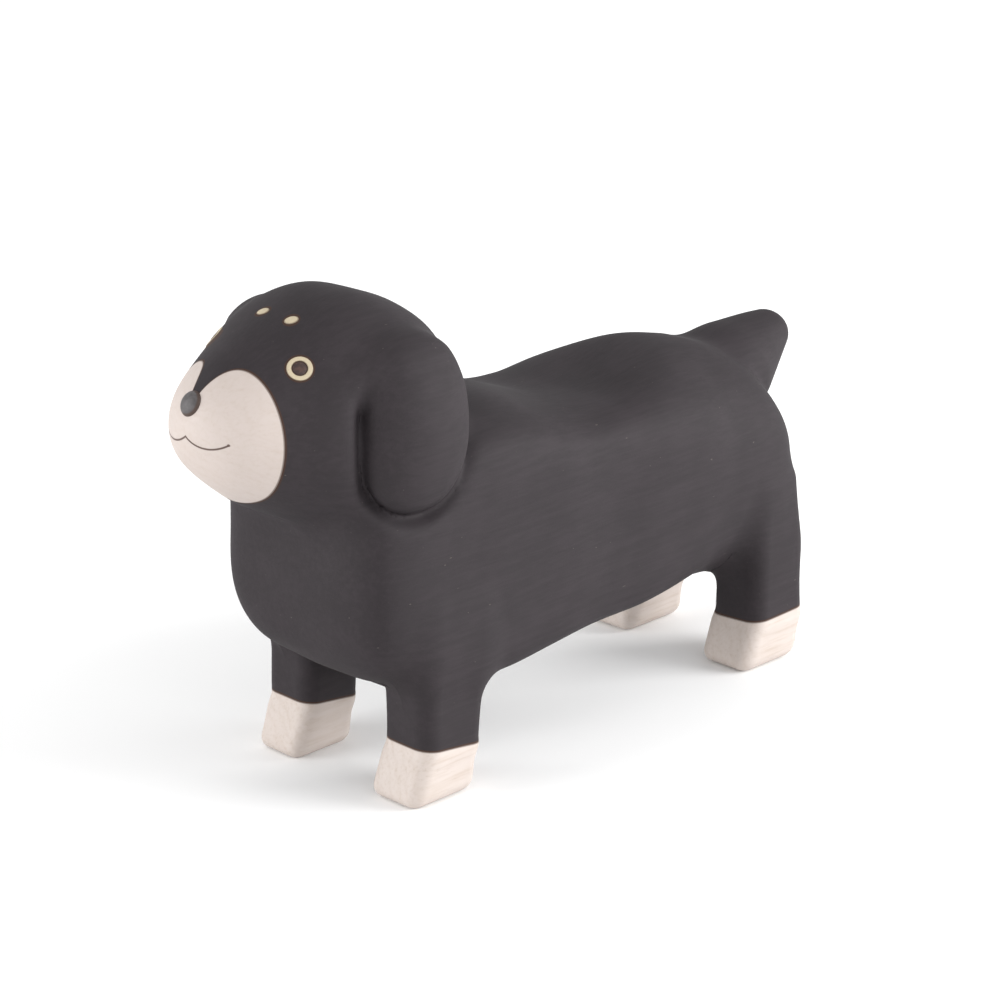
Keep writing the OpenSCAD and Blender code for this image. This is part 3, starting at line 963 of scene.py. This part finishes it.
# %% Distances from the paint's edge
def from_muzzle_edge(place):
    """How far the place lies in front of the muzzle's joint, in millimetres: the joint's formula as nodes."""
    x, y, z = (place.axis(name) for name in "XYZ")
    fade = z.ease(BRIDGE_Z, BRIDGE_Z + BRIDGE_FADE)
    power = ((abs(x - BRIDGE_X) / BRIDGE_WIDTH) ** BRIDGE_POWER) * -1.0
    reach = power.maths("EXPONENT") * BRIDGE_REACH
    return MUZZLE_Y - reach * fade - y


def from_ankle(place, corner):
    """How far the place lies below the slanting line above a paw, in millimetres."""
    side, leg_y = legs[corner]
    across_tilt, along_tilt = ankle_tilts[corner]
    x, y, z = (place.axis(name) for name in "XYZ")
    return (x * side - LEG_X) * across_tilt + (y - leg_y) * along_tilt + ANKLE_Z - z


def rim_distance(place):
    """Distance from the edge of a tiny inlay: the attribute rim runs to 1 there, over about 0.6 mm."""
    rim = place.node("ShaderNodeAttribute", {"attribute_name": "rim"}, {}, 2)
    return (1.0 - rim) * 0.6


def from_spot(place, at, radius):
    """Distance outside a small round spot that both halves of the head have."""
    x, y, z = (place.axis(name) for name in "XYZ")
    return ((abs(x) - at[0]) ** 2.0 + (y - at[1]) ** 2.0 + (z - at[2]) ** 2.0).root() - radius


def from_head_edges(place):
    """Distance from the nearest burnt line on the head: the muzzle's edge, an eye or a brow spot."""
    edge = from_muzzle_edge(place) * -1.0
    return edge.least(from_spot(place, EYE[0], EYE_R)).least(from_spot(place, BROW[0], BROW_LINE_R))

# %% [markdown]
# ## Charcoal paint
# The coat is a thin, matte, water-based paint over sanded wood, rubbed a little after it dried. It is a warm
# grey black, with faint streaks along the grain, a soft mottling, and a few pale pinholes where a pore shows
# through. Streaks and pores also stand in the relief, because what gives thin paint away is its texture.

# %% Charcoal paint
CHARCOAL, WORN, PALE = (0.0205, 0.0163, 0.0187), (0.026, 0.0206, 0.0237), (0.10, 0.085, 0.078)
BURNT = (0.045, 0.021, 0.012)


def charcoal_paint(name, edge=None):
    """Paint with streaks, mottling and pinholes; edge gives the distance behind a burnt line, if any."""
    material, shader, place = new_finish(name)
    streaks = place.stretched((1.5, 0.09, 1.5)).noise(1.0, 4.0, 0.6)
    fine = place.stretched((5.0, 0.45, 5.0)).noise(1.0, 3.0, 0.6)
    mottle = place.noise(0.16, 2.0)
    pores = place.stretched((3.2, 1.1, 3.2)).noise(1.0, 0.0)
    pinholes = pores.ease(0.86, 0.90)
    rubbed = (streaks * 0.55 + mottle * 0.45).ease(0.38, 0.66)
    colour = tint(CHARCOAL, WORN, rubbed)
    colour = tint(colour, PALE, pinholes * 0.5)
    if edge is not None:
        colour = tint(colour, BURNT, edge(place).ease(0.30, 0.12) * 0.8)
    height = streaks * 0.5 + fine * 0.4 - pinholes * 0.5
    plug(shader, Base_Color=colour, Roughness=fine * 0.12 + 0.68, Specular_IOR_Level=0.25,
         Normal=relief(height, 0.035, 0.9))
    return material

# %% [markdown]
# ## Bare wood
# Muzzle and paws are a pale, close-grained wood. The grain runs along the body: on the sides it shows as long
# faint streaks, on the fronts as parts of growth rings. Rings are distances from the tree's heart, which lay
# outside the block, with a little noise so that they wander. Short darker flecks are the wood's pores.

# %% Bare wood
# The paws' wood colour is paler than the muzzle's. That is painted light, standing for the light that the
# white floor throws up onto the paws.
SAPWOOD, PAW_WOOD_WITH_PAINTED_FLOOR_LIGHT, SPOT_WOOD = (0.46, 0.402, 0.373), (0.49, 0.433, 0.40), (0.45, 0.385, 0.27)
LATEWOOD, FLECK, MOUTH_LINE = (0.31, 0.22, 0.15), (0.22, 0.14, 0.09), (0.06, 0.03, 0.021)
MOUTH_CENTRE, MOUTH_R, MOUTH_END = (2.95, 55.1), 4.65, (5.45, 51.2)


def mouth_mask(place):
    """Two arcs side by side that meet under the nose, each with a dot at its end: 1 on the line, 0 off it."""
    x, y, z = (place.axis(name) for name in "XYZ")
    x = abs(x)
    to_arc = abs(((x - MOUTH_CENTRE[0]) ** 2.0 + (z - MOUTH_CENTRE[1]) ** 2.0).root() - MOUTH_R)
    to_end = ((x - MOUTH_END[0]) ** 2.0 + (z - MOUTH_END[1]) ** 2.0).root()
    near_middle = x.ease(1.2, 1.0)
    line = to_arc.ease(0.15, 0.07) * z.ease(MOUTH_END[1] + 0.05, MOUTH_END[1] - 0.05).most(near_middle)
    return line.most(to_end.ease(0.20, 0.12)) * y.ease(-47.5, -48.0) * z.ease(51.9, 51.8)


def bare_wood(name, pale, edge=None, mouth=False, streak=1.0):
    """Sanded wood; edge gives the distance from a burnt line in millimetres, and mouth draws the mouth."""
    material, shader, place = new_finish(name)
    x, y, z = (place.axis(name) for name in "XYZ")
    wander = place.stretched((0.35, 0.05, 0.35)).noise(1.0, 3.0)
    heart = ((x + 34.0) ** 2.0 + (z + 21.0) ** 2.0).root() + wander * 3.4
    rings = ((heart * 4.4).sine() * 0.5 + 0.5) ** 3.0
    streaks = place.stretched((2.4, 0.16, 2.4)).noise(1.0, 4.0, 0.62)
    flecks = place.stretched((7.0, 1.0, 7.0)).noise(1.0, 1.0).ease(0.68, 0.78)
    patches = place.noise(0.22, 2.0).ease(0.35, 0.7)
    colour = tint(pale, LATEWOOD, (rings * 0.09 + streaks.ease(0.45, 0.8) * 0.30 + patches * 0.07) * streak)
    colour = tint(colour, FLECK, flecks * 0.16 * streak)
    height = streaks * 0.5 + rings * 0.2 - flecks * 0.4
    if edge is not None:
        colour = tint(colour, BURNT, edge(place).ease(0.20, 0.06) * 0.75)
    if mouth:
        line = mouth_mask(place)
        colour = tint(colour, MOUTH_LINE, line * 0.92)
        height = height - line * 2.5
    plug(shader, Base_Color=colour, Roughness=streaks * 0.15 + 0.52, Specular_IOR_Level=0.4,
         Normal=relief(height, 0.03, 0.8))
    return material

# %% [markdown]
# ## Nose paint, burnt pupils and birch dowels
# The nose is touched in with a dark grey paint that has dried a little glossier than the coat. The pupils are
# burnt into the wood, so they are brown black and rough. The dowels sit unseen in their bores, and get the
# plain yellowish birch that such dowels are turned from.

# %% Small finishes
def nose_paint():
    material, shader, place = new_finish("nose_grey_paint")
    dabs = place.noise(1.3, 3.0)
    colour = tint((0.052, 0.047, 0.048), (0.08, 0.073, 0.075), dabs.ease(0.35, 0.7))
    colour = tint(colour, BURNT, rim_distance(place).ease(0.12, 0.05) * 0.85)
    plug(shader, Base_Color=colour, Roughness=dabs * 0.15 + 0.5, Normal=relief(dabs, 0.02))
    return material


def burnt_wood():
    material, shader, place = new_finish("burnt_pupil_wood")
    char = place.noise(2.5, 3.0)
    colour = tint((0.024, 0.011, 0.010), (0.065, 0.032, 0.025), char.ease(0.35, 0.75))
    plug(shader, Base_Color=colour, Roughness=char * 0.2 + 0.6, Normal=relief(char, 0.02))
    return material


def birch_dowel():
    material, shader, place = new_finish("birch_dowel_wood")
    grain = place.stretched((2.5, 2.5, 0.15)).noise(1.0, 4.0, 0.6)
    colour = tint((0.60, 0.43, 0.26), (0.78, 0.62, 0.43), grain.ease(0.35, 0.65))
    plug(shader, Base_Color=colour, Roughness=grain * 0.1 + 0.6, Normal=relief(grain, 0.03))
    return material


def dress(piece, material):
    piece.data.materials.clear()
    piece.data.materials.append(material)


coat = charcoal_paint("charcoal_coat")
dress(head, charcoal_paint("charcoal_head", from_head_edges))
dress(muzzle, bare_wood("bare_muzzle", SAPWOOD, from_muzzle_edge, mouth=True, streak=0.55))
for corner in legs:
    above = charcoal_paint(f"charcoal_{corner}", lambda place: from_ankle(place, corner) * -1.0)
    # The paws get the paler wood colour: painted light from the floor below them.
    below = bare_wood(f"bare_{corner}_paw", PAW_WOOD_WITH_PAINTED_FLOOR_LIGHT, lambda place: from_ankle(place, corner))
    dress(leg_pieces[corner], above)
    dress(paw_pieces[corner], below)
for piece in (torso, tail, *ears.values()):
    dress(piece, coat)
spot_wood = bare_wood("bare_spots", SPOT_WOOD, rim_distance, streak=0.6)
for piece in (*eye_rings.values(), *brows.values()):
    dress(piece, spot_wood)
dress(nose, nose_paint())
pupil_char = burnt_wood()
for piece in pupils.values():
    dress(piece, pupil_char)
birch = birch_dowel()
for name in bores:
    for slot in frame["nodes"][name + "_dowel"].material_slots:
        slot.material = birch
print("finishes:", sorted(material.name for material in bpy.data.materials if material.users))

# %% [markdown]
# ## Handing over
# Every piece rides on the one body that the figurine has and takes over its node in the frame. The dowels
# stay as the frame's own solids.

# %% Pieces to nodes
handover = [(torso, "torso", "charcoal_paint"), (head, "head", "charcoal_paint"),
            (tail, "tail", "charcoal_paint"), (muzzle, "muzzle", "bare_wood"), (nose, "nose", "nose_paint")]
for name in ("left", "right"):
    handover += [(ears[name], f"{name}_ear", "charcoal_paint"),
                 (eye_rings[name], f"{name}_eye_ring", "bare_wood"),
                 (pupils[name], f"{name}_pupil", "burnt_wood"),
                 (brows[name], f"{name}_brow_spot", "bare_wood")]
for corner in legs:
    handover += [(leg_pieces[corner], f"{corner}_leg", "charcoal_paint"),
                 (paw_pieces[corner], f"{corner}_paw", "bare_wood")]
for piece, node, slot in handover:
    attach(piece, "root")
    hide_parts(node)
print(len(handover), "pieces, and", len(bores), "dowels")
